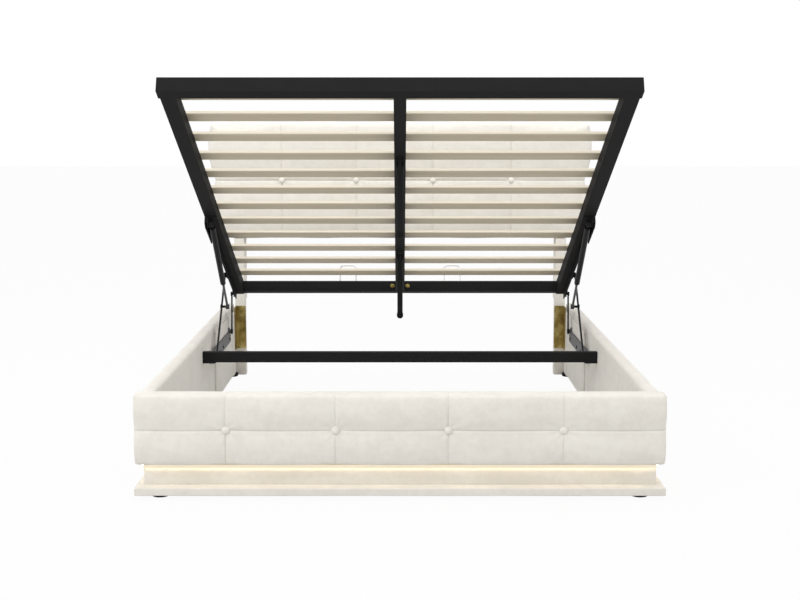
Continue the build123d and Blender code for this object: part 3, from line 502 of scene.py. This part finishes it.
# Boards wrapped in velvet: soft edges, and cuts across them so that the face can wave a little
wrapped = {"edge": 0.0028, "segments": 3, "wave": 0.0005, "flat": 0.02, "corner": 0.6, "spacing": 0.12,
           "reach": 10.0}
wrappedNodes = {
    "ledgeFront": "plinth_ledge_front", "ledgeLeft": "plinth_ledge_left", "ledgeRight": "plinth_ledge_right",
    "riserFront": "plinth_riser_front", "riserLeft": "plinth_riser_left", "riserRight": "plinth_riser_right",
    "headLegLeft": "headboard_leg_left", "headLegRight": "headboard_leg_right",
    "railPadLeft": "side_rail_pad_left", "railPadRight": "side_rail_pad_right",
    "headboardRear": "headboard_back",
}
for name, node in wrappedNodes.items():
    bm = mergedCopy(node)
    bmesh.ops.dissolve_limit(bm, angle_limit=wrapped["flat"], verts=bm.verts, edges=bm.edges)
    corners = [e for e in bm.edges if len(e.link_faces) == 2 and e.calc_face_angle(0) > wrapped["corner"]]
    bmesh.ops.bevel(bm, geom=corners, offset=wrapped["edge"], offset_type="OFFSET", affect="EDGES",
                    segments=wrapped["segments"], profile=0.5, material=-1, clamp_overlap=True)
    for axis in range(3):
        span = [v.co[axis] for v in bm.verts]
        low, high = min(span), max(span)
        for number in range(1, int((high - low) / wrapped["spacing"]) + 1):
            direction = Vector([1.0 if i == axis else 0.0 for i in range(3)])
            cutLine(bm, direction * (low + number * wrapped["spacing"]), direction, wrapped["reach"])
    bm.normal_update()
    for v in bm.verts:
        v.co += v.normal * (noise.noise(v.co * 8) - 0.4) * wrapped["wave"]
    rear = name == "headboardRear"
    piece = newPiece(name, bm, "cloth" if rear else "velvet", "base")
    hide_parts(node)
print("wrapped boards:", len(wrappedNodes))

# Covered buttons, pleated round the rim and flat at the back, which stays where the solid's back is
button = {"radius": 0.0136, "height": 0.0105, "pleats": 14, "pleatDepth": 0.0005, "back": 0.06,
          "forward": 0.0008, "sides": 42, "rings": 20}


def makeButtons(name, node, rowZ, backY):
    bm = bmesh.new()
    for seam in seamLines["x"]:
        made = bmesh.ops.create_uvsphere(bm, u_segments=button["sides"], v_segments=button["rings"],
                                         radius=1.0)["verts"]
        bmesh.ops.rotate(bm, verts=made, matrix=Matrix.Rotation(radians(90), 3, "X"))
        for v in made:
            turn = atan2(v.co.z, v.co.x)
            rim = hypot(v.co.x, v.co.z)
            pleat = button["pleatDepth"] * cos(button["pleats"] * turn) * rim ** 4
            depth = min(v.co.y, button["back"])
            reach = button["radius"] + pleat
            v.co = Vector((v.co.x * reach, depth * button["height"], v.co.z * reach))
        bmesh.ops.translate(bm, verts=made, vec=(seam, backY - button["forward"], rowZ))
    piece = newPiece(name, bm, "buttonVelvet", "base")
    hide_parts(node)


makeButtons("footboardButtons", "footboard_buttons", seamLines["footZ"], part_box("footboard_buttons")[1].y)
makeButtons("headboardButtons", "headboard_buttons", seamLines["headZ"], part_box("headboard_buttons")[1].y)
print("buttons:", 2 * len(seamLines["x"]))

# Hexagon bolts with a washer under the head, and screws with a round socket
hexBolt = {"head": 0.0075, "headHeight": 0.004, "washer": 0.0098, "washerHeight": 0.0012, "edge": 0.0007,
           "washerSides": 28, "step": 0.4}
panHead = {"radius": 0.0070, "top": 0.86, "height": 0.0025, "socket": 0.0036, "socketDepth": 0.0014,
           "sides": 24}
headBar = {"x": 0.034, "u": 0.0302, "v": 0.024, "turn": 0.3}


def turnTo(direction):
    return Vector((0, 0, 1)).rotation_difference(Vector(direction)).to_matrix()


def addTo(whole, bm, place, direction):
    bmesh.ops.rotate(bm, verts=bm.verts, matrix=turnTo(direction))
    bmesh.ops.translate(bm, verts=bm.verts, vec=place)
    bmesh.ops.recalc_face_normals(bm, faces=bm.faces)
    passing = bpy.data.meshes.new("passing")
    bm.to_mesh(passing)
    bm.free()
    whole.from_mesh(passing)
    bpy.data.meshes.remove(passing)


def addHexBolt(whole, place, direction, look, turn):
    bm = bmesh.new()
    disc = bmesh.ops.create_cone(bm, cap_ends=True, segments=look["washerSides"], radius1=look["washer"],
                                 radius2=look["washer"], depth=look["washerHeight"])["verts"]
    bmesh.ops.translate(bm, verts=disc, vec=(0, 0, look["washerHeight"] / 2))
    tall = look["headHeight"] - look["washerHeight"]
    head = bmesh.ops.create_cone(bm, cap_ends=True, segments=6, radius1=look["head"],
                                 radius2=look["head"], depth=tall)["verts"]
    bmesh.ops.translate(bm, verts=head, vec=(0, 0, look["washerHeight"] + tall / 2))
    bmesh.ops.rotate(bm, verts=head, matrix=Matrix.Rotation(turn, 3, "Z"))
    topEdges = [e for e in bm.edges
                if all(v in head and v.co.z > look["headHeight"] - 0.0001 for v in e.verts)]
    bmesh.ops.bevel(bm, geom=topEdges, offset=look["edge"], offset_type="OFFSET", affect="EDGES",
                    segments=2, profile=0.5, material=-1)
    addTo(whole, bm, place, direction)


def addPanHead(whole, place, direction, look):
    bm = bmesh.new()
    head = bmesh.ops.create_cone(bm, cap_ends=True, segments=look["sides"], radius1=look["radius"],
                                 radius2=look["radius"] * look["top"], depth=look["height"])["verts"]
    bmesh.ops.translate(bm, verts=head, vec=(0, 0, look["height"] / 2))
    top = [f for f in bm.faces if all(v.co.z > look["height"] - 0.0001 for v in f.verts)]
    bmesh.ops.inset_region(bm, faces=top, thickness=look["radius"] * look["top"] - look["socket"])
    drawn = bmesh.ops.extrude_face_region(bm, geom=top)["geom"]
    bmesh.ops.delete(bm, geom=top, context="FACES_ONLY")
    sunk = [part for part in drawn if isinstance(part, bmesh.types.BMVert)]
    bmesh.ops.translate(bm, verts=sunk, vec=(0, 0, -look["socketDepth"]))
    addTo(whole, bm, place, direction)


def islandCentres(node):
    # Each loose solid of a CAD node, as the middle of its box and its box
    bm = mergedCopy(node)
    left, found = set(bm.verts), []
    while left:
        group, edge = set(), [left.pop()]
        while edge:
            v = edge.pop()
            group.add(v)
            for other in (e.other_vert(v) for e in v.link_edges):
                if other in left:
                    left.discard(other)
                    edge.append(other)
        low = Vector([min(v.co[i] for v in group) for i in range(3)])
        high = Vector([max(v.co[i] for v in group) for i in range(3)])
        found.append(((low + high) / 2, low, high))
    bm.free()
    return found


boltSets = {
    "bracketHexBolts": ("bracket_bolts", (0, -1, 0), "zinc", "yellow_zinc"),
    "crossbarHexBolts": ("crossbar_bolts", (0, 0, -1), "bolt", "bolt_steel"),
}
for name, (node, direction, material, slot) in boltSets.items():
    bm = bmesh.new()
    for number, (middle, low, high) in enumerate(islandCentres(node)):
        place = middle.copy()
        if direction[1]:
            place.y = low.y + hexBolt["headHeight"]
        else:
            place.z = high.z
        addHexBolt(bm, place, direction, hexBolt, hexBolt["step"] * number)
    piece = newPiece(name, bm, material, "base", smooth=False)
    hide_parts(node)
bm = bmesh.new()
for middle, low, high in islandCentres("base_screws"):
    inward = -1 if middle.x > 0 else 1
    face = high.x if middle.x > 0 else low.x
    addPanHead(bm, Vector((face, middle.y, middle.z)), (inward, 0, 0), panHead)
piece = newPiece("plateScrews", bm, "links", "base", smooth=False)
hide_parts("base_screws")
bm = bmesh.new()
footward = (0, -cos(lean["tilt"]), sin(lean["tilt"]))
for x in (-headBar["x"], headBar["x"]):  # these hold the centre spine to the head bar
    addHexBolt(bm, leanPoint(x, headBar["u"], headBar["v"]), footward, hexBolt, headBar["turn"])
newPiece("headBarBolts", bm, "zinc", "lift_frame", smooth=False)
print("bolts and screws done")

# Weld beads where the bars of the lifting frame meet
weld = {"radius": 0.0024, "pitch": 0.0035, "ripple": 0.0005, "sides": 8}
frameSize = {"tubeX": 0.7005, "spineX": 0.020, "headU": 0.030, "footU": 1.950, "height": 0.048, "end": 0.006}


def addWeld(whole, start, end):
    run = end - start
    steps = max(2, int(run.length / weld["pitch"]))
    bm = bmesh.new()
    bmesh.ops.create_cone(bm, cap_ends=True, segments=weld["sides"], radius1=weld["radius"],
                          radius2=weld["radius"], depth=run.length)
    sides = [e for e in bm.edges if abs(e.verts[0].co.z - e.verts[1].co.z) > run.length / 2]
    bmesh.ops.subdivide_edges(bm, edges=sides, cuts=steps * 3, use_grid_fill=True)
    for v in bm.verts:
        swell = 1 + weld["ripple"] / weld["radius"] * sin(v.co.z / weld["pitch"] * 2 * pi)
        v.co.x *= swell
        v.co.y *= swell
    addTo(whole, bm, (start + end) / 2, run.normalized())


bm = bmesh.new()
low, high = frameSize["end"], frameSize["height"] - frameSize["end"]
for u in (frameSize["headU"], frameSize["footU"]):
    for x in (-frameSize["tubeX"], -frameSize["spineX"], frameSize["spineX"], frameSize["tubeX"]):
        addWeld(bm, leanPoint(x, u, low), leanPoint(x, u, high))
newPiece("frameWelds", bm, "frame", "lift_frame")
print("welds done")

# A pale floor, soft lamps and the photograph's camera
studio = {"world": 0.84, "key": 86.0, "fill": 21.0, "top": 35.0, "head": 17.0, "floorWhite": 0.95,
          "floorGrey": (0.60, 0.60, 0.60), "floorSize": 30.0}
bm = bmesh.new()
bmesh.ops.create_grid(bm, x_segments=1, y_segments=1, size=studio["floorSize"])
mesh = bpy.data.meshes.new("studioFloor")
bm.to_mesh(mesh)
bm.free()
floor = bpy.data.objects.new("studioFloor", mesh)
scene.collection.objects.link(floor)
ground = Shader("studioFloorPaint", Roughness=0.9, Base_Color=studio["floorGrey"])
paint = Wire(ground, ground.surface.outputs[0])
white = ground.node("ShaderNodeEmission", None, {"Color": (1, 1, 1), "Strength": 1.0})
seen = ground.seenRays() * studio["floorWhite"]
blended = ground.node("ShaderNodeMixShader", None, {0: seen, 1: paint, 2: white})
ground.put(ground.tree.nodes["Material Output"].inputs["Surface"], blended)
mesh.materials.append(ground.material)

scene.world = bpy.data.worlds.new("studioWorld")
sky = Shader("studioWorld", scene.world, "Background", Color=(1, 1, 1), Strength=studio["world"])
soft = Wire(sky, sky.surface.outputs[0])
bright = sky.node("ShaderNodeBackground", None, {"Color": (1, 1, 1), "Strength": 1.0})
blended = sky.node("ShaderNodeMixShader", None, {0: sky.seenRays(), 1: soft, 2: bright})
sky.put(sky.tree.nodes["World Output"].inputs["Surface"], blended)


def addLamp(name, place, aim, size, power):
    lamp = bpy.data.lights.new(name, "AREA")
    lamp.shape, lamp.size, lamp.energy = "DISK", size, power
    held = bpy.data.objects.new(name, lamp)
    held.location = place
    held.rotation_euler = (Vector(aim) - Vector(place)).to_track_quat("-Z", "Y").to_euler()
    scene.collection.objects.link(held)


addLamp("keyLamp", (-3.2, -3.6, 3.6), (0, -0.3, 0.4), 2.4, studio["key"])
addLamp("fillLamp", (3.6, -3.0, 2.2), (0, -0.2, 0.4), 2.6, studio["fill"])
addLamp("topLamp", (0.0, 0.4, 4.2), (0, 0.0, 0.2), 3.0, studio["top"])
addLamp("headLamp", (0.0, -0.7, 3.3), (0, 1.0, 0.9), 1.6, studio["head"])

view = {"place": (0, -5.180, 1.170), "pitch": 7.56, "lens": 60.885}
lens = bpy.data.cameras.new("photoCamera")
lens.lens, lens.sensor_width = view["lens"], 36.0
eye = bpy.data.objects.new("photoCamera", lens)
eye.location = view["place"]
eye.rotation_euler = (radians(90 - view["pitch"]), 0, 0)
scene.collection.objects.link(eye)
scene.camera = eye
scene.view_settings.view_transform = "Standard"
print("studio ready")
